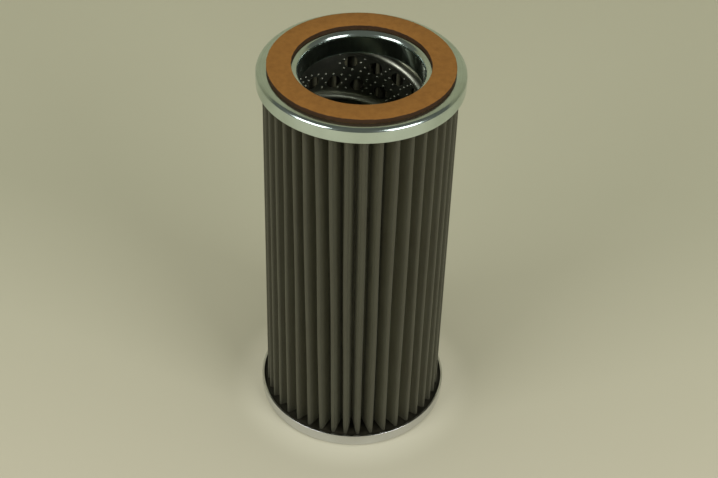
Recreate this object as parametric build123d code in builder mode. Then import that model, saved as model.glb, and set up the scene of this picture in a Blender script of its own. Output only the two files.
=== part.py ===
from build123d import *
from math import acos, degrees
import os

# Oil filter element: pleated wire cloth round a perforated core, between two pressed caps.
# Millimetres. The origin is where the axis meets the table, and +Z points out of the open end.

# End caps, pressed from one gauge of sheet
cap_diameter = 70.0
flat_height = 146.5  # from the table to the flat of the top cap
cap_sheet = 0.8
cap_corner = 1.5  # outside radius of the rolled corners
top_skirt = 5.3
bottom_rim = 5.4

# Collar of the top cap, which is the oil outlet
collar_bore = 41.8
collar_depth = 8.0
collar_lip = 2.0  # outside radius where the flat turns down into the collar

# Centring boss of the bottom cap
boss_rise = 4.4
boss_bend = 1.6

# Gasket
gasket_thickness = 1.5
gasket_outer_diameter = 63.0
gasket_inner_diameter = 46.4

# Perforated core, wound from strip
core_sheet = 0.5
bead_height = 2.0
bead_sides = 8  # the bead's section is half of a polygon with this many sides
bead_clearance = 0.3  # between the beads and the collar that they centre on
bead_starts = 2
bead_spacing = 20.9  # up the tube, from one bead to the next
bead_angle = 100.3  # where a bead passes bead_drop below the flat
bead_drop = 7.75
bead_seat = 0.02  # from the flat back of a bead to the wall of the tube
bead_end_relief = 2.5  # the beads stop short of both ends of the tube
hole_diameter = 5.0
holes_per_turn = 18
hole_row_offset = 5.9  # up the tube, from a bead to the row beside it
hole_row_angle = 98.6
hole_row_stagger = 14.9  # round the tube, from the row below a bead to the row above it
hole_end_margin = 2.0

# Pleated wire cloth
pleat_count = 41
cloth_thickness = 0.5
tip_bend = 0.85  # outside radius of the outer folds
root_bend = 0.75  # outside radius of the inner folds
tip_margin = 1.34  # from the fold tips to the inside of the skirt
root_clearance = 0.1  # from the inner folds to the core

# Resin bed in each cap
resin_depth = 3.4

# Clip over the two ends of the cloth
seam_angle = 90.0  # from +X, so the seam is on the far side
clip_sheet = 0.4
clip_root_gap = 2.6  # from the inner folds to the clip's mouth
clip_edge_gap = 0.1
clip_bend = 0.5
clip_neck = 0.5  # from the clip's mouth to where the two ends part

# Sizes that follow
cap_radius = cap_diameter / 2
skirt_inside = cap_radius - cap_sheet
bore_radius = collar_bore / 2
collar_outside = bore_radius + cap_sheet
core_inside = collar_outside + bead_clearance + bead_height
core_outside = core_inside + core_sheet
core_low = cap_sheet
core_high = flat_height - cap_sheet
bead_lead = bead_starts * bead_spacing
cloth_low = cap_sheet + resin_depth
cloth_high = flat_height - cap_sheet - resin_depth
cloth_length = cloth_high - cloth_low
half_cloth = cloth_thickness / 2
tip_reach = skirt_inside - tip_margin
root_reach = core_outside + root_clearance
pleat_angle = 360 / pleat_count

os.makedirs("parts", exist_ok=True)

# Top cap: half section through skirt, rounded corner, flat, lip and collar
with BuildPart() as top_cap:
    with BuildSketch(Plane.XZ) as top_section:
        with BuildLine():
            outside = FilletPolyline(
                (cap_radius, flat_height - top_skirt),
                (cap_radius, flat_height),
                (bore_radius, flat_height),
                (bore_radius, flat_height - collar_depth),
                radius=[cap_corner, collar_lip],
            )
            inside = FilletPolyline(
                (skirt_inside, flat_height - top_skirt),
                (skirt_inside, core_high),
                (collar_outside, core_high),
                (collar_outside, flat_height - collar_depth),
                radius=[cap_corner - cap_sheet, collar_lip - cap_sheet],
            )
            Line(outside @ 0, inside @ 0)
            Line(outside @ 1, inside @ 1)
        make_face()
    revolve(axis=Axis.Z)
top_cap.part.label = "top_cap"
export_step(top_cap.part, "parts/top_cap.step")

# Bottom cap: rim, foot ring on the table, and a closed centre pressed up into the core
with BuildPart() as bottom_cap:
    with BuildSketch(Plane.XZ) as bottom_section:
        with BuildLine():
            under = FilletPolyline(
                (cap_radius, bottom_rim),
                (cap_radius, 0),
                (bore_radius, 0),
                (bore_radius, boss_rise),
                (0, boss_rise),
                radius=[cap_corner, boss_bend, boss_bend - cap_sheet],
            )
            over = FilletPolyline(
                (skirt_inside, bottom_rim),
                (skirt_inside, cap_sheet),
                (collar_outside, cap_sheet),
                (collar_outside, boss_rise + cap_sheet),
                (0, boss_rise + cap_sheet),
                radius=[cap_corner - cap_sheet, boss_bend - cap_sheet, boss_bend],
            )
            Line(under @ 0, over @ 0)
            Line(under @ 1, over @ 1)
        make_face()
    revolve(axis=Axis.Z)
bottom_cap.part.label = "bottom_cap"
export_step(bottom_cap.part, "parts/bottom_cap.step")

# Gasket, flat on the top cap
with BuildPart() as top_gasket:
    with BuildSketch(Plane.XY.offset(flat_height)):
        Circle(gasket_outer_diameter / 2)
        Circle(gasket_inner_diameter / 2, mode=Mode.SUBTRACT)
    extrude(amount=gasket_thickness)
top_gasket.part.label = "top_gasket"
export_step(top_gasket.part, "parts/top_gasket.step")


def resin_section(cap_face, cloth_face):
    """Section of a resin bed between a cap's inside face and the end of the cloth."""
    with BuildSketch(Plane.XZ) as section:
        with BuildLine():
            FilletPolyline(
                (core_outside, cap_face),
                (skirt_inside, cap_face),
                (skirt_inside, cloth_face),
                radius=cap_corner - cap_sheet,
            )
            Polyline(
                (skirt_inside, cloth_face),
                (core_outside, cloth_face),
                (core_outside, cap_face),
            )
        make_face()
    return section.sketch


with BuildPart() as bottom_resin:
    add(resin_section(core_low, cloth_low))
    revolve(axis=Axis.Z)
bottom_resin.part.label = "bottom_resin"
export_step(bottom_resin.part, "parts/bottom_resin.step")

with BuildPart() as top_resin:
    add(resin_section(core_high, cloth_high))
    revolve(axis=Axis.Z)
top_resin.part.label = "top_resin"
export_step(top_resin.part, "parts/top_resin.step")


def bead_height_at(angle):
    """Height of the first bead's centre line at an angle from +X, in degrees."""
    return flat_height - bead_drop + bead_lead * (angle - bead_angle) / 360


# Rolled bead, wound up the inside of the core from one end relief to the other
bead_low = core_low + bead_end_relief
bead_run = core_high - bead_end_relief - bead_low
bead_low_angle = bead_angle + 360 * (bead_low - bead_height_at(bead_angle)) / bead_lead
with BuildPart() as bead:
    with BuildLine(Plane.XY.offset(bead_low)) as bead_path:
        Helix(pitch=bead_lead, height=bead_run, radius=core_inside - bead_seat)
    with BuildSketch(
        Plane(origin=bead_path.line @ 0, x_dir=(1, 0, 0), z_dir=bead_path.line % 0)
    ):
        RegularPolygon(bead_height, bead_sides, major_radius=False, rotation=180 / bead_sides)
        Rectangle(
            2 * bead_height,
            2 * bead_height,
            align=(Align.MIN, Align.CENTER),
            mode=Mode.SUBTRACT,
        )
    sweep(is_frenet=True)

with BuildPart() as core_beads:
    with PolarLocations(0, bead_starts, start_angle=bead_low_angle):
        add(bead.part)
core_beads.part.label = "core_beads"
export_step(core_beads.part, "parts/core_beads.step")

# Holes of the core: two staggered rows between each pair of beads
hole_step = 360 / holes_per_turn
lowest_hole = cloth_low + hole_end_margin + hole_diameter / 2
highest_hole = cloth_high - hole_end_margin - hole_diameter / 2
hole_planes = []
for start in range(bead_starts):
    for side, stagger in ((-1, 0), (1, hole_row_stagger)):
        for step in range(int(holes_per_turn * (flat_height / bead_lead + 2))):
            angle = hole_row_angle + stagger - step * hole_step
            height = bead_height_at(angle) + side * hole_row_offset
            if lowest_hole <= height <= highest_hole:
                outward = Vector(1, 0, 0).rotate(Axis.Z, angle + start * 360 / bead_starts)
                centre = outward * core_outside + Vector(0, 0, height)
                hole_planes.append(Plane(origin=centre, x_dir=(0, 0, 1), z_dir=outward))

with BuildPart() as core_tube:
    with BuildSketch(Plane.XY.offset(core_low)):
        Circle(core_outside)
        Circle(core_inside, mode=Mode.SUBTRACT)
    extrude(amount=core_high - core_low)
    with Locations(*hole_planes):
        Hole(hole_diameter / 2, depth=2 * core_sheet)
core_tube.part.label = "core_tube"
export_step(core_tube.part, "parts/core_tube.step")

# Fold geometry, drawn for a pleat that points along +X
tip_fold = tip_bend - half_cloth  # radius of the cloth's middle round a fold tip
root_fold = root_bend - half_cloth
tip_centre = Vector(tip_reach - tip_bend, 0)
root_direction = Vector(1, 0).rotate(Axis.Z, pleat_angle / 2)
root_centre = root_direction * (root_reach + root_bend)


def flank_normal(start, start_radius):
    """Outward normal of the flank that runs from a fold at start to the root fold."""
    span = root_centre - start
    turn = degrees(acos((start_radius + root_fold) / span.length))
    return span.normalized().rotate(Axis.Z, -turn)


def root_arc(normal, radius):
    """Arc of the root fold, from the flank to the middle of the gap between pleats."""
    flank_side = root_centre - normal * radius
    gap_side = root_centre - root_direction * radius
    middle = root_centre - (normal + root_direction).normalized() * radius
    return ThreePointArc(flank_side, middle, gap_side)


# Plain pleat: tip fold, flank and root fold, then mirrored
tip_normal = flank_normal(tip_centre, tip_fold)
with BuildSketch() as plain_pleat:
    with BuildLine():
        for side in (1, -1):
            tip_radius = tip_fold + side * half_cloth
            root_radius = root_fold - side * half_cloth
            tip_end = tip_centre + tip_normal * tip_radius
            tip_middle = tip_centre + (tip_normal + Vector(1, 0)).normalized() * tip_radius
            tip_start = tip_centre + Vector(tip_radius, 0)
            ThreePointArc(tip_start, tip_middle, tip_end)
            Line(tip_end, root_centre - tip_normal * root_radius)
            root_arc(tip_normal, root_radius)
        Line(tip_centre + Vector(tip_fold - half_cloth, 0), tip_centre + Vector(tip_bend, 0))
        Line(
            root_centre - root_direction * (root_fold - half_cloth),
            root_centre - root_direction * root_bend,
        )
    make_face()
    mirror(about=Plane.XZ)

# Seam pleat: the two ends of the cloth lie back to back inside the clip
clip_mouth = root_reach + clip_root_gap
clip_depth = tip_reach - clip_mouth
cloth_edge = tip_reach - clip_sheet - clip_edge_gap
part_point = Vector(clip_mouth - clip_neck, half_cloth)
seam_normal = flank_normal(part_point, 0)
mitre = half_cloth * (1 - seam_normal.Y) / seam_normal.X
with BuildSketch() as seam_fold:
    with BuildLine():
        for side in (1, -1):
            root_radius = root_fold - side * half_cloth
            bend_point = Vector(part_point.X + side * mitre, (1 + side) * half_cloth)
            Line((cloth_edge, bend_point.Y), bend_point)
            Line(bend_point, root_centre - seam_normal * root_radius)
            root_arc(seam_normal, root_radius)
        Line((cloth_edge, 0), (cloth_edge, cloth_thickness))
        Line(
            root_centre - root_direction * (root_fold - half_cloth),
            root_centre - root_direction * root_bend,
        )
    make_face()
    mirror(about=Plane.XZ)

with BuildPart() as pleated_mesh:
    with BuildSketch(Plane.XY.offset(cloth_low)):
        with PolarLocations(
            0,
            pleat_count - 1,
            start_angle=seam_angle + pleat_angle,
            angular_range=360 - pleat_angle,
        ):
            add(plain_pleat.sketch)
        with PolarLocations(0, 1, start_angle=seam_angle):
            add(seam_fold.sketch)
    extrude(amount=cloth_length)
pleated_mesh.part.label = "pleated_mesh"
export_step(pleated_mesh.part, "parts/pleated_mesh.step")

# Clip folded over the seam, with its closed edge outwards
with BuildSketch() as clip_section:
    with Locations((tip_reach, 0)):
        Rectangle(
            clip_depth,
            2 * (cloth_thickness + clip_sheet),
            align=(Align.MAX, Align.CENTER),
        )
    fillet(clip_section.vertices().group_by(Axis.X)[-1], clip_bend)
    with Locations((cloth_edge + clip_edge_gap, 0)):
        Rectangle(
            clip_depth,
            2 * cloth_thickness,
            align=(Align.MAX, Align.CENTER),
            mode=Mode.SUBTRACT,
        )

with BuildPart() as seam_clip:
    with BuildSketch(Plane.XY.offset(cloth_low)):
        with PolarLocations(0, 1, start_angle=seam_angle):
            add(clip_section.sketch)
    extrude(amount=cloth_length)
seam_clip.part.label = "seam_clip"
export_step(seam_clip.part, "parts/seam_clip.step")
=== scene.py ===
import bpy
import bmesh
import math
import numpy as np
from mathutils import Matrix, Vector, noise


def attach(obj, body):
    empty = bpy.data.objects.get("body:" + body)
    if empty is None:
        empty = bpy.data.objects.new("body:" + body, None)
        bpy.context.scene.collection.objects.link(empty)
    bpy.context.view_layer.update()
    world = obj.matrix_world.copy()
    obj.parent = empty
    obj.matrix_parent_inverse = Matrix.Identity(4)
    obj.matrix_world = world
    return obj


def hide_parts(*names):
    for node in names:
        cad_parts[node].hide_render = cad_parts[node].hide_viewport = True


# Hydraulic oil filter element: pleated wire cloth, perforated core, pressed caps and a gasket.
# Sizes are in millimetres and become metres where a mesh is made.
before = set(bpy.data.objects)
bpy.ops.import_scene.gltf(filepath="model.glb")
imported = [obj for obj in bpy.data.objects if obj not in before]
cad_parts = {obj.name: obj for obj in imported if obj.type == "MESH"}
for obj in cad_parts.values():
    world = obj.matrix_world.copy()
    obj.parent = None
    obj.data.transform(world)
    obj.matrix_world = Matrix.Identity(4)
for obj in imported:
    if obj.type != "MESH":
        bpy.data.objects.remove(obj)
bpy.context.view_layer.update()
mm = 0.001


# Small helpers for modelling

def deselectAll():
    if bpy.context.mode != "OBJECT":
        bpy.ops.object.mode_set(mode="OBJECT")
    bpy.ops.object.select_all(action="DESELECT")


def takeNew(name):
    # names the object that an operator has just added, and puts its place in its mesh
    piece = bpy.context.object
    piece.name = name
    piece.data.name = name
    bpy.ops.object.transform_apply(location=True, rotation=True, scale=True)
    return piece


def pickPoints(piece, wanted):
    # in edit mode: selects the vertices whose radius and height pass the test
    shape = bmesh.from_edit_mesh(piece.data)
    shape.select_mode = {"VERT"}
    for part in (shape.faces, shape.edges):
        for item in part:
            item.select = False
    for point in shape.verts:
        radius = math.hypot(point.co.x, point.co.y) / mm
        point.select = wanted(radius, point.co.z / mm)
    shape.select_flush(True)
    bmesh.update_edit_mesh(piece.data)


def pullRings(name, stations, segments):
    # a ring of edges, extruded from station to station like metal on a spinning lathe
    deselectAll()
    startRadius, startHeight = stations[0]
    bpy.ops.mesh.primitive_circle_add(
        vertices=segments, radius=startRadius * mm, location=(0, 0, startHeight * mm))
    piece = takeNew(name)
    bpy.ops.object.mode_set(mode="EDIT")
    bpy.ops.mesh.select_all(action="SELECT")
    for (oldRadius, oldHeight), (radius, height) in zip(stations, stations[1:]):
        rise = (0, 0, (height - oldHeight) * mm)
        bpy.ops.mesh.extrude_region_move(TRANSFORM_OT_translate={"value": rise})
        grow = radius / oldRadius
        if abs(grow - 1) > 1e-6:
            bpy.ops.transform.resize(
                value=(grow, grow, 1), center_override=(0, 0, height * mm))
    return piece


def roundRing(piece, radius, height, bend, steps):
    # in edit mode: rounds the corner that runs round one ring
    pickPoints(piece, lambda r, z: abs(r - radius) < 0.01 and abs(z - height) < 0.01)
    bpy.ops.mesh.bevel(offset=bend * mm, offset_type="OFFSET", segments=steps, affect="EDGES")


def outwardNormals(piece):
    # in edit mode
    bpy.ops.mesh.select_all(action="SELECT")
    bpy.ops.mesh.normals_make_consistent(inside=False)


def applyModifier(piece, kind, name, **settings):
    deselectAll()
    bpy.context.view_layer.objects.active = piece
    piece.select_set(True)
    modifier = piece.modifiers.new(name, kind)
    for key, value in settings.items():
        setattr(modifier, key, value)
    bpy.ops.object.modifier_apply(modifier=name)


def smoothPiece(piece, angle=35, flatsStayFlat=False):
    deselectAll()
    bpy.context.view_layer.objects.active = piece
    piece.select_set(True)
    bpy.ops.object.shade_smooth_by_angle(angle=math.radians(angle))
    if flatsStayFlat:
        applyModifier(piece, "WEIGHTED_NORMAL", "flatNormals", keep_sharp=True)


def finishPiece(piece, material, slot, *nodes):
    piece.data.materials.clear()
    piece.data.materials.append(material)
    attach(piece, "root")
    if nodes:
        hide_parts(*nodes)
    print("made", piece.name, len(piece.data.polygons), "faces")


# Small helpers for materials

def newMaterial(name, shaderValues):
    material = bpy.data.materials.new(name)
    material.use_nodes = True
    shader = material.node_tree.nodes["Principled BSDF"]
    for key, value in shaderValues.items():
        shader.inputs[key].default_value = value
    return material, shader


def addNode(material, kind, settings=None, inputs=None):
    node = material.node_tree.nodes.new(kind)
    for key, value in (settings or {}).items():
        setattr(node, key, value)
    for key, value in (inputs or {}).items():
        if isinstance(value, bpy.types.NodeSocket):
            material.node_tree.links.new(value, node.inputs[key])
        else:
            node.inputs[key].default_value = value
    return node


def join(material, source, sink):
    material.node_tree.links.new(source, sink)


def objectPlace(material):
    return addNode(material, "ShaderNodeTexCoord").outputs["Object"]


def doMath(material, operation, first, second=0.0):
    node = addNode(material, "ShaderNodeMath", {"operation": operation}, {0: first, 1: second})
    return node.outputs["Value"]


def noiseOf(material, place, scale, detail=2.0, roughness=0.5):
    node = addNode(
        material, "ShaderNodeTexNoise", None,
        {"Vector": place, "Scale": scale, "Detail": detail, "Roughness": roughness})
    return node.outputs["Fac"]


def lathePlace(material):
    # radius and height, for marks that run round the axis
    place = objectPlace(material)
    flat = addNode(
        material, "ShaderNodeVectorMath", {"operation": "MULTIPLY"}, {0: place, 1: (1, 1, 0)})
    radius = addNode(
        material, "ShaderNodeVectorMath", {"operation": "LENGTH"}, {0: flat.outputs["Vector"]})
    height = addNode(material, "ShaderNodeSeparateXYZ", None, {0: place}).outputs["Z"]
    both = addNode(
        material, "ShaderNodeCombineXYZ", None, {0: radius.outputs["Value"], 2: height})
    return both.outputs["Vector"], radius.outputs["Value"], height


def rampOf(material, factor, stops):
    node = addNode(material, "ShaderNodeValToRGB", None, {"Fac": factor})
    ramp = node.color_ramp
    while len(ramp.elements) < len(stops):
        ramp.elements.new(1.0)
    for element, (position, value) in zip(ramp.elements, stops):
        element.position = position
        if not isinstance(value, tuple):
            value = (value, value, value)
        element.color = (*value, 1.0)
    return node.outputs["Color"]


def mixColors(material, factor, first, second, blend="MIX"):
    node = addNode(
        material, "ShaderNodeMix", {"data_type": "RGBA", "blend_type": blend},
        {"Factor": factor})
    for socket, value in ((node.inputs[6], first), (node.inputs[7], second)):
        if isinstance(value, tuple):
            socket.default_value = (*value, 1.0)
        else:
            join(material, value, socket)
    return node.outputs[2]


def addBump(material, shader, height, strength, distance):
    node = addNode(
        material, "ShaderNodeBump", None,
        {"Height": height, "Strength": strength, "Distance": distance})
    join(material, node.outputs["Normal"], shader.inputs["Normal"])
    return node


# Finishes

fibreLook = {
    "light": (0.275, 0.122, 0.022),
    "dark": (0.225, 0.096, 0.016),
    # painted shade: the colour given to the gasket's upright sides
    "paintedSideShade": (0.042, 0.018, 0.005),
    "fleck": (0.340, 0.165, 0.040),
}


def gasketFibre():
    material, shader = newMaterial("gasketFibre", {"Roughness": 0.78, "Specular IOR Level": 0.3})
    place = objectPlace(material)
    cloudy = noiseOf(material, place, 420.0, 4.0, 0.65)
    grain = noiseOf(material, place, 1500.0, 4.0, 0.75)
    base = mixColors(
        material, rampOf(material, cloudy, [(0.35, 0.0), (0.68, 1.0)]),
        fibreLook["light"], fibreLook["dark"])
    flecked = mixColors(
        material, rampOf(material, grain, [(0.55, 0.0), (0.75, 0.55)]), base, fibreLook["fleck"])
    facing = addNode(material, "ShaderNodeNewGeometry").outputs["Normal"]
    upward = addNode(material, "ShaderNodeSeparateXYZ", None, {0: facing}).outputs["Z"]
    # painted shade: faces that stand upright, the ring's sides, take the dark side colour
    side = rampOf(material, doMath(material, "ABSOLUTE", upward), [(0.45, 1.0), (0.85, 0.0)])
    color = mixColors(material, side, flecked, fibreLook["paintedSideShade"])
    join(material, color, shader.inputs["Base Color"])
    addBump(material, shader, grain, 0.35, 0.00006)
    return material


zincLook = {
    # the passivation left a green tinge on one cap and a rosy one on the other
    "top": {"pale": (0.68, 0.80, 0.76), "grey": (0.58, 0.68, 0.63)},
    "bottom": {"pale": (0.74, 0.75, 0.78), "grey": (0.66, 0.65, 0.66)},
    "drawLine": (0.40, 0.44, 0.41),
    "smooth": 0.12,
    "rough": 0.21,
}


def zincPlate(name, tints):
    material, shader = newMaterial(name, {"Metallic": 1.0})
    place = objectPlace(material)
    turned, radius, height = lathePlace(material)
    cloudy = noiseOf(material, place, 90.0, 3.0, 0.55)
    drawn = noiseOf(material, turned, 5200.0, 2.0, 0.6)
    color = mixColors(
        material, rampOf(material, cloudy, [(0.3, 0.0), (0.7, 1.0)]),
        tints["pale"], tints["grey"])
    lined = mixColors(
        material, rampOf(material, drawn, [(0.35, 0.0), (0.75, 0.35)]), color,
        zincLook["drawLine"])
    join(material, lined, shader.inputs["Base Color"])
    gloss = addNode(
        material, "ShaderNodeMapRange", None,
        {"Value": cloudy, "To Min": zincLook["smooth"], "To Max": zincLook["rough"]})
    join(material, gloss.outputs["Result"], shader.inputs["Roughness"])
    addBump(material, shader, drawn, 0.12, 0.00002)
    return material


resinLook = {"deep": (0.010, 0.009, 0.005), "dusty": (0.030, 0.027, 0.016)}


def pottingResin():
    material, shader = newMaterial("pottingResin", {"Specular IOR Level": 0.5})
    place = objectPlace(material)
    cloudy = noiseOf(material, place, 380.0, 4.0, 0.6)
    color = mixColors(
        material, rampOf(material, cloudy, [(0.4, 0.0), (0.7, 1.0)]),
        resinLook["deep"], resinLook["dusty"])
    join(material, color, shader.inputs["Base Color"])
    gloss = rampOf(material, cloudy, [(0.3, 0.32), (0.75, 0.6)])
    join(material, gloss, shader.inputs["Roughness"])
    addBump(material, shader, cloudy, 0.4, 0.0003)
    return material


clothLook = {
    "wire": (0.200, 0.196, 0.122),
    "gap": (0.050, 0.048, 0.030),
    "wirePitch": 0.42,
    "stain": (0.160, 0.142, 0.080),
    "inner": 0.0246, "outer": 0.0328,
    # painted light and shade by radius, from root to tip: a dark band just outside the roots, bright
    # flanks, darker tips
    "shadingByDepth": [
        (0.0, 1.0), (0.08, 0.6), (0.14, 0.2), (0.22, 0.25), (0.38, 1.0), (0.75, 0.75),
        (0.96, 0.40)],
}


def wireCloth():
    # a twill of fine wires on the sheet's own coordinates, which are in metres along and up
    material, shader = newMaterial(
        "wireCloth", {
            "Metallic": 0.25, "Roughness": 0.5, "Sheen Weight": 0.25, "Sheen Roughness": 0.45,
            "Sheen Tint": (0.80, 0.80, 0.62, 1.0)})
    sheet = addNode(material, "ShaderNodeUVMap", {"uv_map": "clothSheet"}).outputs["UV"]
    turn = 2 * math.pi / (clothLook["wirePitch"] * mm)
    split = addNode(material, "ShaderNodeSeparateXYZ", None, {0: sheet})
    along = doMath(material, "MULTIPLY", split.outputs["X"], turn)
    up = doMath(material, "MULTIPLY", split.outputs["Y"], turn)
    warp = doMath(material, "SINE", doMath(material, "ADD", along, up))
    weft = doMath(material, "SINE", doMath(material, "SUBTRACT", along, up))
    crossing = doMath(material, "MAXIMUM", warp, weft)
    place = objectPlace(material)
    cloudy = noiseOf(material, place, 70.0, 4.0, 0.6)
    wire = mixColors(
        material, rampOf(material, cloudy, [(0.38, 0.0), (0.72, 0.6)]),
        clothLook["wire"], clothLook["stain"])
    woven = mixColors(
        material, rampOf(material, crossing, [(0.05, 0.0), (0.85, 1.0)]), clothLook["gap"], wire)
    turned, radius, height = lathePlace(material)
    depth = addNode(
        material, "ShaderNodeMapRange", None,
        {"Value": radius, "From Min": clothLook["inner"], "From Max": clothLook["outer"]})
    # painted light and shade: the cloth's colour is scaled by its distance from the axis
    paintedDepthShading = rampOf(material, depth.outputs["Result"], clothLook["shadingByDepth"])
    shaded = mixColors(material, 1.0, woven, paintedDepthShading, "MULTIPLY")
    join(material, shaded, shader.inputs["Base Color"])
    addBump(material, shader, crossing, 0.5, 0.00006)
    return material


def steelSheet(name, light, dark, smooth, rough):
    material, shader = newMaterial(name, {"Metallic": 1.0})
    place = objectPlace(material)
    cloudy = noiseOf(material, place, 140.0, 4.0, 0.6)
    fine = noiseOf(material, place, 1800.0, 2.0, 0.6)
    color = mixColors(
        material, rampOf(material, cloudy, [(0.35, 0.0), (0.7, 1.0)]), light, dark)
    join(material, color, shader.inputs["Base Color"])
    gloss = addNode(
        material, "ShaderNodeMapRange", None, {"Value": fine, "To Min": smooth, "To Max": rough})
    join(material, gloss.outputs["Result"], shader.inputs["Roughness"])
    addBump(material, shader, fine, 0.1, 0.00003)
    return material


gasketFinish = gasketFibre()
zincTopFinish = zincPlate("zincPlateTop", zincLook["top"])
zincBottomFinish = zincPlate("zincPlateBottom", zincLook["bottom"])
resinFinish = pottingResin()
clothFinish = wireCloth()
clipFinish = steelSheet("clipSteel", (0.34, 0.35, 0.33), (0.22, 0.23, 0.21), 0.25, 0.45)
coreFinish = steelSheet("coreSteel", (0.50, 0.51, 0.42), (0.32, 0.33, 0.27), 0.28, 0.48)
print("finishes ready")


# Pressed caps

capSizes = {
    "radius": 35.0, "flat": 146.5, "sheet": 0.8, "corner": 1.5, "skirt": 5.3,
    "bore": 20.9, "collarDepth": 8.0, "lip": 2.0, "curlRise": 0.25, "curlIn": 0.14,
    "rim": 5.4, "bossRise": 4.4, "bossBend": 1.6,
    "edgeBreak": 0.15, "segments": 224,
}


def makeCap(name, stations, bends):
    piece = pullRings(name, stations, capSizes["segments"])
    if stations[-1][0] < 1:
        bpy.ops.mesh.merge(type="CENTER")
    for radius, height, bend in bends:
        roundRing(piece, radius, height, bend, 8)
    outwardNormals(piece)
    return piece


def makeTopCap():
    radius, flat, bore = capSizes["radius"], capSizes["flat"], capSizes["bore"]
    collarEnd = flat - capSizes["collarDepth"]
    # the punch leaves the end of the collar turned in a little
    stations = [
        (radius, flat - capSizes["skirt"]), (radius, flat), (bore, flat),
        (bore, collarEnd + capSizes["curlRise"]), (bore - capSizes["curlIn"], collarEnd)]
    bends = [(radius, flat, capSizes["corner"]), (bore, flat, capSizes["lip"])]
    piece = makeCap("capTop", stations, bends)
    turnOut(piece, lambda r, z: z > 146.4, 1)
    applyModifier(
        piece, "SOLIDIFY", "gauge", thickness=capSizes["sheet"] * mm, offset=-1,
        use_even_offset=True)
    applyModifier(
        piece, "BEVEL", "edgeBreak", width=capSizes["edgeBreak"] * mm, segments=3,
        limit_method="ANGLE", angle_limit=math.radians(60))
    smoothPiece(piece, flatsStayFlat=True)
    finishPiece(piece, zincTopFinish, "zinc_plate", "top_cap")


def makeBottomCap():
    radius, bore, rise = capSizes["radius"], capSizes["bore"], capSizes["bossRise"]
    stations = [
        (radius, capSizes["rim"]), (radius, 0.0), (bore, 0.0), (bore, rise), (0.02, rise)]
    bends = [
        (radius, 0.0, capSizes["corner"]), (bore, 0.0, capSizes["bossBend"]),
        (bore, rise, capSizes["bossBend"] - capSizes["sheet"])]
    piece = makeCap("capBottom", stations, bends)
    turnOut(piece, lambda r, z: r < 10, -1)
    applyModifier(
        piece, "SOLIDIFY", "gauge", thickness=capSizes["sheet"] * mm, offset=-1,
        use_even_offset=True)
    applyModifier(
        piece, "BEVEL", "edgeBreak", width=capSizes["edgeBreak"] * mm, segments=3,
        limit_method="ANGLE", angle_limit=math.radians(60))
    smoothPiece(piece, flatsStayFlat=True)
    finishPiece(piece, zincBottomFinish, "zinc_plate", "bottom_cap")


def turnOut(piece, where, sign):
    # an open shell has no inside, so its flat tells which way it has to face
    if bpy.context.mode != "EDIT_MESH":
        bpy.ops.object.mode_set(mode="EDIT")
    shape = bmesh.from_edit_mesh(piece.data)
    shape.normal_update()
    for face in shape.faces:
        middle = face.calc_center_median()
        if where(math.hypot(middle.x, middle.y) / mm, middle.z / mm) and abs(face.normal.z) > 0.9:
            if face.normal.z * sign < 0:
                bpy.ops.mesh.select_all(action="SELECT")
                bpy.ops.mesh.flip_normals()
            break
    bpy.ops.object.mode_set(mode="OBJECT")


makeTopCap()
makeBottomCap()


# Gasket: a cut fibre ring with slightly crushed edges

gasketSizes = {"outer": 31.5, "inner": 23.2, "low": 146.5, "high": 148.0, "edge": 0.14, "torn": 0.16}


def makeGasket():
    outer, inner = gasketSizes["outer"], gasketSizes["inner"]
    low, high = gasketSizes["low"], gasketSizes["high"]
    stations = [(inner, low), (outer, low), (outer, high), (inner, high), (inner, low)]
    piece = pullRings("gasketRing", stations, 400)
    bpy.ops.mesh.select_all(action="SELECT")
    bpy.ops.mesh.remove_doubles(threshold=0.00001)
    outwardNormals(piece)
    bpy.ops.object.mode_set(mode="OBJECT")
    applyModifier(
        piece, "BEVEL", "crushedEdge", width=gasketSizes["edge"] * mm, segments=3,
        limit_method="ANGLE", angle_limit=math.radians(60))
    # the cut follows the fibres a little, always inside the true ring
    middle = (outer + inner) / 2
    for point in piece.data.vertices:
        radius = math.hypot(point.co.x, point.co.y) / mm
        around = math.atan2(point.co.y, point.co.x)
        torn = noise.noise(Vector((math.cos(around), math.sin(around), point.co.z * 900)) * 24)
        inward = gasketSizes["torn"] * (0.5 + 0.5 * torn) * (1 if radius < middle else -1)
        if abs(radius - middle) > (outer - inner) / 2 - 0.3:
            point.co.x *= 1 + inward / radius
            point.co.y *= 1 + inward / radius
    smoothPiece(piece)
    finishPiece(piece, gasketFinish, "gasket_fibre", "top_gasket")


makeGasket()


# Resin beds, with a low swell where the resin wets the sheet

resinSizes = {"inner": 24.5, "outer": 34.2, "depth": 3.4, "wet": 0.5, "segments": 328}


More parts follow.
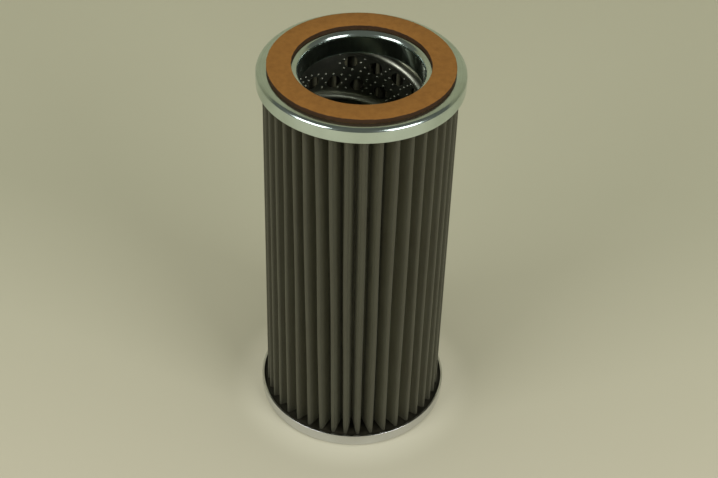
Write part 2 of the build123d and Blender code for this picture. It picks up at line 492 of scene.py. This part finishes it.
def makeResin(name, node, capFace, clothFace):
    side = 1 if clothFace > capFace else -1
    inner, outer, wet = resinSizes["inner"], resinSizes["outer"], resinSizes["wet"]
    bend = capSizes["corner"] - capSizes["sheet"]
    stations = [
        (inner, capFace), (outer - bend, capFace), (outer, capFace + side * bend),
        (outer, clothFace + side * wet), (outer - 0.35, clothFace + side * 0.15),
        (outer - 1.0, clothFace), (outer - 2.6, clothFace), (outer - 4.6, clothFace),
        (inner + 1.0, clothFace), (inner, clothFace), (inner, capFace)]
    piece = pullRings(name, stations, resinSizes["segments"])
    bpy.ops.mesh.select_all(action="SELECT")
    bpy.ops.mesh.remove_doubles(threshold=0.00001)
    outwardNormals(piece)
    bpy.ops.object.mode_set(mode="OBJECT")
    for point in piece.data.vertices:
        radius = math.hypot(point.co.x, point.co.y) / mm
        if abs(point.co.z / mm - clothFace) < 0.01 and inner + 0.5 < radius < outer - 0.5:
            around = math.atan2(point.co.y, point.co.x)
            swell = 0.10 * math.sin(9 * around + radius) + 0.07 * math.sin(23 * around - 2 * radius)
            point.co.z += side * (0.18 + swell) * mm
    smoothPiece(piece, 50)
    finishPiece(piece, resinFinish, "potting_resin", node)


makeResin("resinBottom", "bottom_resin", 0.8, 4.2)
makeResin("resinTop", "top_resin", 145.7, 142.3)


# Pleated wire cloth: one flat sheet, folded along its length

clothSizes = {
    "pleats": 41, "thickness": 0.5, "low": 4.2, "high": 142.3,
    "tipReach": 32.86, "rootReach": 24.6, "tipBend": 0.60, "rootBend": 0.50,
    "levels": 46, "tipSteps": 6, "flankSteps": 3, "rootSteps": 4,
    "footPinch": 0.42, "pinchHeight": 3.2, "wander": 0.22,
    "clipEdge": 32.36, "clipMouth": 26.7,
}
# how far the folds lean round the axis, in degrees: a mean, then swings of order 2, 3 and 5
footLean = (0.92, -1.51, 0.30, 0.89, -0.24, -0.63, -0.39)
headLean = (-0.85, 1.48, 0.30, 0.40, -1.76, 0.52, 0.16)


def leanAt(angle, lean):
    # nothing at the back, where the clip holds the seam straight
    value = lean[0]
    for order, sine, cosine in zip((2, 3, 5), lean[1::2], lean[2::2]):
        value += sine * math.sin(order * angle) + cosine * math.cos(order * angle)
    return value * math.cos(angle / 2) ** 2


def foldSheet(heights):
    # rows of points along the folded sheet, one array of (x, y) for each point
    count = clothSizes["pleats"]
    pitch = 2 * math.pi / count
    share = (heights - heights[0]) / (heights[-1] - heights[0])
    pinch = 1 - clothSizes["footPinch"] * np.exp(
        -(heights - heights[0]) / clothSizes["pinchHeight"])
    tipRadius = clothSizes["tipBend"] * pinch
    rootRadius = clothSizes["rootBend"]
    back = math.pi / 2  # the seam, on +Y

    def tipAngle(index):
        angle = back + index * pitch
        fromFront = math.remainder(angle + math.pi / 2, 2 * math.pi)
        foot = math.radians(leanAt(fromFront, footLean))
        head = math.radians(leanAt(fromFront, headLean))
        calm = math.cos(fromFront / 2) ** 2
        wave = clothSizes["wander"] * calm * np.sin(math.pi * share) * np.sin(
            2.3 * index + 5.0 * share) / clothSizes["tipReach"]
        return angle + foot + (head - foot) * share + wave

    tips = [tipAngle(index) for index in range(count + 1)]
    points = []

    def polar(radius, angle):
        return radius * np.cos(angle), radius * np.sin(angle)

    def addArc(centre, radius, start, sweep, steps):
        for step in range(steps + 1):
            angle = start + sweep * step / steps
            points.append((centre[0] + radius * np.cos(angle), centre[1] + radius * np.sin(angle)))

    def addRun(first, last, steps):
        for step in range(1, steps):
            part = step / steps
            points.append(tuple(a + (b - a) * part for a, b in zip(first, last)))

    def wrapped(angle):
        return (angle + math.pi) % (2 * math.pi) - math.pi

    def flankAngle(start, end, bothRadii, side):
        # direction of the normal that a flank has in common with both folds
        spanX, spanY = end[0] - start[0], end[1] - start[1]
        length = np.hypot(spanX, spanY)
        return np.arctan2(spanY, spanX) - side * np.arccos(bothRadii / length)

    rootReach = clothSizes["rootReach"] + clothSizes["rootBend"] + clothSizes["thickness"] / 2
    tipReach = clothSizes["tipReach"] - clothSizes["thickness"] / 2
    half = clothSizes["thickness"] / 2
    rootAngles = [(a + b) / 2 for a, b in zip(tips, tips[1:])]
    roots = [polar(rootReach, angle) for angle in rootAngles]
    # the free edge of the sheet, beside the seam
    seamX = half * np.ones_like(heights)
    mouth = clothSizes["clipMouth"]
    points.append((-seamX, clothSizes["clipEdge"] * np.ones_like(heights)))
    addRun((-seamX, clothSizes["clipEdge"]), (-seamX, mouth * np.ones_like(heights)), 3)
    bendPoint = (-seamX, mouth * np.ones_like(heights))
    points.append(bendPoint)
    previous = bendPoint
    previousRadius = 0.0
    normal = None
    for index in range(1, count + 1):
        root = roots[index - 1]
        # down the flank to the root fold
        normal = flankAngle(previous, root, previousRadius + rootRadius, 1)
        leave = (previous[0] + previousRadius * np.cos(normal),
                 previous[1] + previousRadius * np.sin(normal))
        arrive = (root[0] - rootRadius * np.cos(normal), root[1] - rootRadius * np.sin(normal))
        if index == 1:
            addRun(leave, arrive, clothSizes["flankSteps"] + 1)
        else:
            sweep = wrapped(normal - tipNormal)
            addArc(previous, tipRadius, tipNormal, sweep, clothSizes["tipSteps"])
            addRun(leave, arrive, clothSizes["flankSteps"] + 1)
        # round the root fold
        if index < count:
            tip = polar(tipReach - tipRadius, tips[index])
            nextRadius = tipRadius
        else:
            tip = (seamX, mouth * np.ones_like(heights))
            nextRadius = 0.0
        upNormal = flankAngle(tip, root, nextRadius + rootRadius, -1)
        start = normal + math.pi
        sweep = wrapped(upNormal + math.pi - start)
        addArc(root, rootRadius, start, sweep, clothSizes["rootSteps"])
        leave = (root[0] - rootRadius * np.cos(upNormal), root[1] - rootRadius * np.sin(upNormal))
        arrive = (tip[0] + nextRadius * np.cos(upNormal), tip[1] + nextRadius * np.sin(upNormal))
        addRun(leave, arrive, clothSizes["flankSteps"] + 1)
        previous = tip
        previousRadius = nextRadius
        tipNormal = upNormal
    points.append((seamX, mouth * np.ones_like(heights)))
    addRun((seamX, mouth * np.ones_like(heights)), (seamX, clothSizes["clipEdge"]), 3)
    points.append((seamX, clothSizes["clipEdge"] * np.ones_like(heights)))
    return points


def makeCloth():
    levels = clothSizes["levels"]
    low, high = clothSizes["low"], clothSizes["high"]
    # closer rows near the foot, where the folds are pinched
    spread = np.linspace(0, 1, levels) ** 1.35
    heights = low + (high - low) * spread
    columns = foldSheet(heights)
    deselectAll()
    bpy.ops.mesh.primitive_grid_add(
        x_subdivisions=len(columns) - 1, y_subdivisions=levels - 1, size=1, calc_uvs=True)
    piece = takeNew("meshPleats")
    across = np.array([column[0] * np.ones(levels) for column in columns])
    deep = np.array([column[1] * np.ones(levels) for column in columns])
    steps = np.hypot(np.diff(across[:, levels // 2]), np.diff(deep[:, levels // 2]))
    along = np.concatenate([[0.0], np.cumsum(steps)])
    places = np.zeros((len(piece.data.vertices), 3))
    sheet = np.zeros((len(piece.data.vertices), 2))
    for index in range(len(piece.data.vertices)):
        row, column = divmod(index, len(columns))
        places[index] = (across[column, row], deep[column, row], heights[row])
        sheet[index] = (along[column], heights[row])
    piece.data.vertices.foreach_set("co", (places * mm).ravel())
    layer = piece.data.uv_layers[0]
    layer.name = "clothSheet"
    corners = np.zeros(len(piece.data.loops), dtype=np.int32)
    piece.data.loops.foreach_get("vertex_index", corners)
    layer.uv.foreach_set("vector", (sheet[corners] * mm).ravel())
    piece.data.update()
    applyModifier(
        piece, "SOLIDIFY", "wires", thickness=clothSizes["thickness"] * mm, offset=0,
        use_even_offset=False)
    smoothPiece(piece, 60)
    finishPiece(piece, clothFinish, "wire_cloth", "pleated_mesh")


makeCloth()


# Core: rolled beads, holes and embossed pips follow the same helix

coreSizes = {
    "inside": 24.0, "sheet": 0.5, "low": 0.8, "high": 145.7,
    "lead": 41.8, "beadAngle": 100.3, "beadDrop": 7.75, "beadHeight": 2.0,
    "endRelief": 2.5, "starts": 2, "holeDiameter": 5.0, "holesPerTurn": 18,
    "rowOffset": 5.9, "rowAngle": 98.6, "rowStagger": 14.9,
    "lowestHole": 8.7, "highestHole": 137.8,
    "pipStep": 3.1, "pipRow": 1.75, "pipRadius": 0.55, "pipRise": 0.34,
}


def helixHeight(angle):
    # height of the first bead at an angle in degrees
    return capSizes["flat"] - coreSizes["beadDrop"] + coreSizes["lead"] * (
        angle - coreSizes["beadAngle"]) / 360


def holePlaces():
    step = 360 / coreSizes["holesPerTurn"]
    turns = capSizes["flat"] / coreSizes["lead"] + 2
    places = []
    for start in range(coreSizes["starts"]):
        for side, stagger in ((-1, 0), (1, coreSizes["rowStagger"])):
            for index in range(int(coreSizes["holesPerTurn"] * turns)):
                angle = coreSizes["rowAngle"] + stagger - index * step
                height = helixHeight(angle) + side * coreSizes["rowOffset"]
                if coreSizes["lowestHole"] <= height <= coreSizes["highestHole"]:
                    places.append((angle + start * 360 / coreSizes["starts"], height))
    return places


def copyRound(source, name, places, radius):
    # joins copies of a small piece that points along +X at the origin
    outline = source.data
    stamp = bmesh.new()
    for angle, height in places:
        shape = outline.copy()
        shape.transform(
            Matrix.Rotation(math.radians(angle), 4, "Z")
            @ Matrix.Translation((radius * mm, 0, height * mm)))
        stamp.from_mesh(shape)
        bpy.data.meshes.remove(shape)
    joined = bpy.data.meshes.new(name)
    stamp.to_mesh(joined)
    stamp.free()
    piece = bpy.data.objects.new(name, joined)
    bpy.context.scene.collection.objects.link(piece)
    return piece


def makeCoreTube():
    inside, sheet = coreSizes["inside"], coreSizes["sheet"]
    piece = pullRings(
        "coreTube",
        [(inside, coreSizes["low"]), (inside, coreSizes["high"]),
         (inside + sheet, coreSizes["high"]), (inside + sheet, coreSizes["low"]),
         (inside, coreSizes["low"])], 180)
    bpy.ops.mesh.select_all(action="SELECT")
    bpy.ops.mesh.remove_doubles(threshold=0.00001)
    outwardNormals(piece)
    deselectAll()
    bpy.ops.mesh.primitive_cylinder_add(
        vertices=20, radius=coreSizes["holeDiameter"] / 2 * mm, depth=3 * mm,
        rotation=(0, math.pi / 2, 0))
    punch = takeNew("holePunch")
    punches = copyRound(punch, "holePunches", holePlaces(), inside)
    applyModifier(
        piece, "BOOLEAN", "punchHoles", operation="DIFFERENCE", object=punches, solver="EXACT")
    bpy.data.objects.remove(punches)
    bpy.data.objects.remove(punch)
    smoothPiece(piece, 30)
    finishPiece(piece, coreFinish, "core_steel", "core_tube")


def makeCoreBeads():
    # half a round, turned up the inside of the tube
    height = coreSizes["beadHeight"]
    low = coreSizes["low"] + coreSizes["endRelief"]
    run = coreSizes["high"] - coreSizes["endRelief"] - low
    startAngle = coreSizes["beadAngle"] + 360 * (
        low - helixHeight(coreSizes["beadAngle"])) / coreSizes["lead"]
    turns = run / coreSizes["lead"]
    beads = []
    for start in range(coreSizes["starts"]):
        deselectAll()
        bpy.ops.mesh.primitive_circle_add(
            vertices=20, radius=height * mm, rotation=(math.pi / 2, 0, 0),
            location=((coreSizes["inside"] - 0.02) * mm, 0, low * mm))
        bead = takeNew("bead%d" % start)
        bpy.ops.object.mode_set(mode="EDIT")
        bpy.ops.mesh.select_all(action="SELECT")
        bpy.ops.mesh.bisect(
            plane_co=((coreSizes["inside"] - 0.02) * mm, 0, 0), plane_no=(1, 0, 0),
            clear_outer=True)
        # the flat back of the half round
        shape = bmesh.from_edit_mesh(bead.data)
        for point in shape.verts:
            point.select = len(point.link_edges) == 1
        shape.select_flush(True)
        bmesh.update_edit_mesh(bead.data)
        bpy.ops.mesh.edge_face_add()
        bpy.ops.object.mode_set(mode="OBJECT")
        bead.data.transform(Matrix.Rotation(
            math.radians(startAngle + start * 360 / coreSizes["starts"]), 4, "Z"))
        applyModifier(
            bead, "SCREW", "winding", angle=turns * 2 * math.pi, screw_offset=run * mm,
            steps=170, render_steps=170, iterations=1, use_normal_calculate=True)
        bpy.ops.object.mode_set(mode="EDIT")
        bpy.ops.mesh.select_all(action="DESELECT")
        bpy.ops.mesh.select_non_manifold()
        bpy.ops.mesh.fill_holes(sides=0)
        outwardNormals(bead)
        bpy.ops.object.mode_set(mode="OBJECT")
        beads.append(bead)
    deselectAll()
    for bead in beads:
        bead.select_set(True)
    bpy.context.view_layer.objects.active = beads[0]
    bpy.ops.object.join()
    piece = takeNew("coreBeads")
    smoothPiece(piece, 40)
    finishPiece(piece, coreFinish, "core_steel", "core_beads")


def makeCorePips():
    # low embossed dots between the holes, in rows along the helix
    inside = coreSizes["inside"]
    circle = 2 * math.pi * inside
    slope = coreSizes["lead"] / circle
    lean = math.cos(math.atan(slope))
    holes = [(angle % 360, height) for angle, height in holePlaces()]
    deselectAll()
    bpy.ops.mesh.primitive_uv_sphere_add(segments=8, ring_count=6, radius=coreSizes["pipRadius"] * mm)
    pip = takeNew("pip")
    bpy.ops.object.mode_set(mode="EDIT")
    bpy.ops.mesh.select_all(action="SELECT")
    bpy.ops.transform.resize(
        value=(coreSizes["pipRise"] / coreSizes["pipRadius"], 1, 1), center_override=(0, 0, 0))
    bpy.ops.mesh.bisect(plane_co=(0.0001, 0, 0), plane_no=(1, 0, 0), clear_outer=True)
    bpy.ops.object.mode_set(mode="OBJECT")
    places = []
    halfSpacing = coreSizes["lead"] / coreSizes["starts"] / 2 * lean
    rows = int(halfSpacing / coreSizes["pipRow"])
    for start in range(coreSizes["starts"]):
        for row in range(-rows, rows + 1):
            if abs(row * coreSizes["pipRow"]) < 2.9:
                continue
            length = circle / lean * (capSizes["flat"] / coreSizes["lead"] + 2)
            for index in range(int(length / coreSizes["pipStep"])):
                walk = -(index + 0.5 * (row % 2)) * coreSizes["pipStep"] * lean
                angle = coreSizes["rowAngle"] + 10 + math.degrees(walk / inside)
                height = helixHeight(angle) + row * coreSizes["pipRow"] / lean
                angle += start * 360 / coreSizes["starts"]
                if not coreSizes["low"] + 1.5 < height < coreSizes["high"] - 1.5:
                    continue
                clear = True
                for holeAngle, holeHeight in holes:
                    apart = math.remainder(angle - holeAngle, 360)
                    across = math.radians(apart) * inside
                    if math.hypot(across, height - holeHeight) < coreSizes["holeDiameter"] / 2 + 0.4:
                        clear = False
                        break
                if clear:
                    places.append((angle, height))
    piece = copyRound(pip, "corePips", places, inside)
    bpy.data.objects.remove(pip)
    smoothPiece(piece, 60)
    finishPiece(piece, coreFinish, "core_steel")


makeCoreTube()
makeCoreBeads()
makeCorePips()


# Seam clip: a strip folded over the two edges of the cloth, its bend outwards

clipSizes = {
    "reach": 32.86, "mouth": 27.2, "sheet": 0.4, "cloth": 0.5, "bend": 0.35,
    "low": 4.2, "high": 142.3,
}


def makeSeamClip():
    outside = clipSizes["cloth"] + clipSizes["sheet"]
    deselectAll()
    bpy.ops.mesh.primitive_plane_add(size=2 * mm)
    piece = takeNew("seamClip")
    bpy.ops.object.mode_set(mode="EDIT")
    bpy.ops.mesh.select_all(action="SELECT")
    bpy.ops.transform.resize(
        value=(outside, (clipSizes["reach"] - clipSizes["mouth"]) / 2, 1),
        center_override=(0, 0, 0))
    middle = (clipSizes["reach"] + clipSizes["mouth"]) / 2
    bpy.ops.transform.translate(value=(0, middle * mm, clipSizes["low"] * mm))
    bpy.ops.mesh.extrude_region_move(
        TRANSFORM_OT_translate={"value": (0, 0, (clipSizes["high"] - clipSizes["low"]) * mm)})
    bpy.ops.mesh.select_all(action="SELECT")
    bpy.ops.mesh.normals_make_consistent(inside=False)
    bpy.ops.mesh.select_all(action="DESELECT")
    shape = bmesh.from_edit_mesh(piece.data)
    for edge in shape.edges:
        first, last = edge.verts
        upright = abs(first.co.z - last.co.z) > 1 * mm
        if upright and first.co.y > clipSizes["reach"] * mm - 1e-6:
            edge.select = True
            first.select = True
            last.select = True
    bmesh.update_edit_mesh(piece.data)
    bpy.ops.mesh.bevel(offset=clipSizes["bend"] * mm, segments=5, affect="EDGES")
    bpy.ops.object.mode_set(mode="OBJECT")
    applyModifier(
        piece, "BEVEL", "cutEdges", width=0.08 * mm, segments=2, limit_method="ANGLE",
        angle_limit=math.radians(60))
    smoothPiece(piece, 40)
    finishPiece(piece, clipFinish, "clip_steel", "seam_clip")


makeSeamClip()


# Floor, light and camera

studio = {
    # painted shade: the table is coloured darker towards the back
    "floorNear": (0.580, 0.548, 0.425),
    "floorFar": (0.490, 0.482, 0.358),
    "floorRing": (0.625, 0.600, 0.468),
    "tent": ((0.80, 0.80, 0.72), 0.80),
    "room": ((0.80, 0.82, 0.70), 0.14),
    "paper": ((0.42, 0.41, 0.31), 1.0),
    "lampDistance": 1.3,
    "lamps": [
        ("lampLeft", -51, 26, (0.75, 0.60), 6.2),
        ("lampRight", 46, 27, (0.70, 0.60), 7.2),
    ],
    "floorSize": 12.0, "sweepStart": 0.60, "sweepRadius": 0.45, "sweepTop": 1.8,
}


def makeFloor():
    # a table top that sweeps up behind the object
    deselectAll()
    bpy.ops.mesh.primitive_plane_add(size=studio["floorSize"])
    floor = takeNew("floor")
    bpy.ops.object.mode_set(mode="EDIT")
    bpy.ops.mesh.select_all(action="SELECT")
    bpy.ops.transform.translate(value=(0, studio["sweepStart"] - studio["floorSize"] / 2, 0))
    bpy.ops.mesh.select_all(action="DESELECT")
    shape = bmesh.from_edit_mesh(floor.data)
    for edge in shape.edges:
        if all(point.co.y > studio["sweepStart"] - 0.01 for point in edge.verts):
            edge.select_set(True)
    bmesh.update_edit_mesh(floor.data)
    bpy.ops.mesh.spin(
        steps=16, angle=math.pi / 2, axis=(-1, 0, 0),
        center=(0, studio["sweepStart"], studio["sweepRadius"]))
    bpy.ops.mesh.extrude_region_move(
        TRANSFORM_OT_translate={"value": (0, 0, studio["sweepTop"] - studio["sweepRadius"])})
    bpy.ops.object.mode_set(mode="OBJECT")
    bpy.ops.object.shade_smooth()
    material, shader = newMaterial("tableTop", {"Roughness": 0.6, "Specular IOR Level": 0.3})
    place = objectPlace(material)
    cloudy = noiseOf(material, place, 3.0, 3.0, 0.5)
    # painted shade: the table's colour darkens from the front to the back
    depth = addNode(material, "ShaderNodeSeparateXYZ", None, {0: place}).outputs["Y"]
    fall = addNode(
        material, "ShaderNodeMapRange", None,
        {"Value": depth, "From Min": -0.10, "From Max": 0.12})
    color = mixColors(
        material, fall.outputs["Result"], studio["floorNear"], studio["floorFar"])
    soft = mixColors(
        material, rampOf(material, cloudy, [(0.4, 0.0), (0.7, 0.08)]), color, (0.42, 0.40, 0.30))
    # the shiny rim throws a ring of light on the table
    turned, radius, height = lathePlace(material)
    apart = addNode(
        material, "ShaderNodeMapRange", {"interpolation_type": "SMOOTHERSTEP"},
        {"Value": radius, "From Min": 0.037, "From Max": 0.050, "To Min": 1.0, "To Max": 0.0})
    ringed = mixColors(material, apart.outputs["Result"], soft, studio["floorRing"])
    join(material, ringed, shader.inputs["Base Color"])
    floor.data.materials.append(material)


def addLamp(name, place, aim, size, power, color=(1, 1, 1)):
    lamp = bpy.data.lights.new(name, "AREA")
    lamp.shape = "RECTANGLE"
    lamp.size, lamp.size_y = size
    lamp.energy = power
    lamp.color = color
    holder = bpy.data.objects.new(name, lamp)
    bpy.context.scene.collection.objects.link(holder)
    holder.location = place
    holder.rotation_euler = (Vector(aim) - Vector(place)).to_track_quat("-Z", "Y").to_euler()


def makeLight():
    world = bpy.context.scene.world or bpy.data.worlds.new("studioWorld")
    bpy.context.scene.world = world
    world.use_nodes = True
    nodes, links = world.node_tree.nodes, world.node_tree.links
    path = nodes.new("ShaderNodeLightPath")

    def backgroundOf(look):
        node = nodes.new("ShaderNodeBackground")
        node.inputs["Color"].default_value = (*look[0], 1.0)
        node.inputs["Strength"].default_value = look[1]
        return node.outputs["Background"]

    def eitherOf(test, no, yes):
        node = nodes.new("ShaderNodeMixShader")
        links.new(path.outputs[test], node.inputs["Fac"])
        links.new(no, node.inputs[1])
        links.new(yes, node.inputs[2])
        return node.outputs["Shader"]

    # a light tent; bright metal mirrors the dim room behind it, and the camera sees paper
    lit = eitherOf("Is Glossy Ray", backgroundOf(studio["tent"]), backgroundOf(studio["room"]))
    seen = eitherOf("Is Camera Ray", lit, backgroundOf(studio["paper"]))
    links.new(seen, nodes["World Output"].inputs["Surface"])
    aim = Vector((0, 0, 0.09))
    for name, azimuth, elevation, size, power in studio["lamps"]:
        around, rise = math.radians(azimuth), math.radians(elevation)
        toward = Vector((
            math.sin(around) * math.cos(rise), -math.cos(around) * math.cos(rise), math.sin(rise)))
        addLamp(name, aim + toward * studio["lampDistance"], aim, size, power)


viewSizes = {
    "elevation": 40.385, "distance": 539.63, "aimHeight": 72.298,
    "yaw": 0.099, "roll": 1.745, "focalPixels": 1493.5, "imageWidth": 718,
}


def makeCamera():
    elevation = math.radians(viewSizes["elevation"])
    yaw, roll = math.radians(viewSizes["yaw"]), math.radians(viewSizes["roll"])
    ahead = Vector((0, math.cos(elevation), -math.sin(elevation)))
    right = Vector((1, 0, 0))
    up = right.cross(ahead)
    turnedAhead = math.cos(yaw) * ahead + math.sin(yaw) * right
    turnedRight = math.cos(yaw) * right - math.sin(yaw) * ahead
    sideways = math.cos(roll) * turnedRight + math.sin(roll) * up
    upwards = -math.sin(roll) * turnedRight + math.cos(roll) * up
    distance = viewSizes["distance"] * mm
    place = Vector((
        0, -distance * math.cos(elevation),
        viewSizes["aimHeight"] * mm + distance * math.sin(elevation)))
    data = bpy.data.cameras.new("photoCamera")
    data.sensor_fit = "HORIZONTAL"
    data.sensor_width = 36.0
    data.lens = 36.0 * viewSizes["focalPixels"] / viewSizes["imageWidth"]
    data.clip_start = 0.01
    data.clip_end = 20.0
    camera = bpy.data.objects.new("photoCamera", data)
    bpy.context.scene.collection.objects.link(camera)
    camera.matrix_world = Matrix((
        (sideways.x, upwards.x, -turnedAhead.x, place.x),
        (sideways.y, upwards.y, -turnedAhead.y, place.y),
        (sideways.z, upwards.z, -turnedAhead.z, place.z),
        (0, 0, 0, 1)))
    bpy.context.scene.camera = camera


makeFloor()
makeLight()
makeCamera()
bpy.context.scene.view_settings.view_transform = "Standard"
print("stage, light and camera ready")
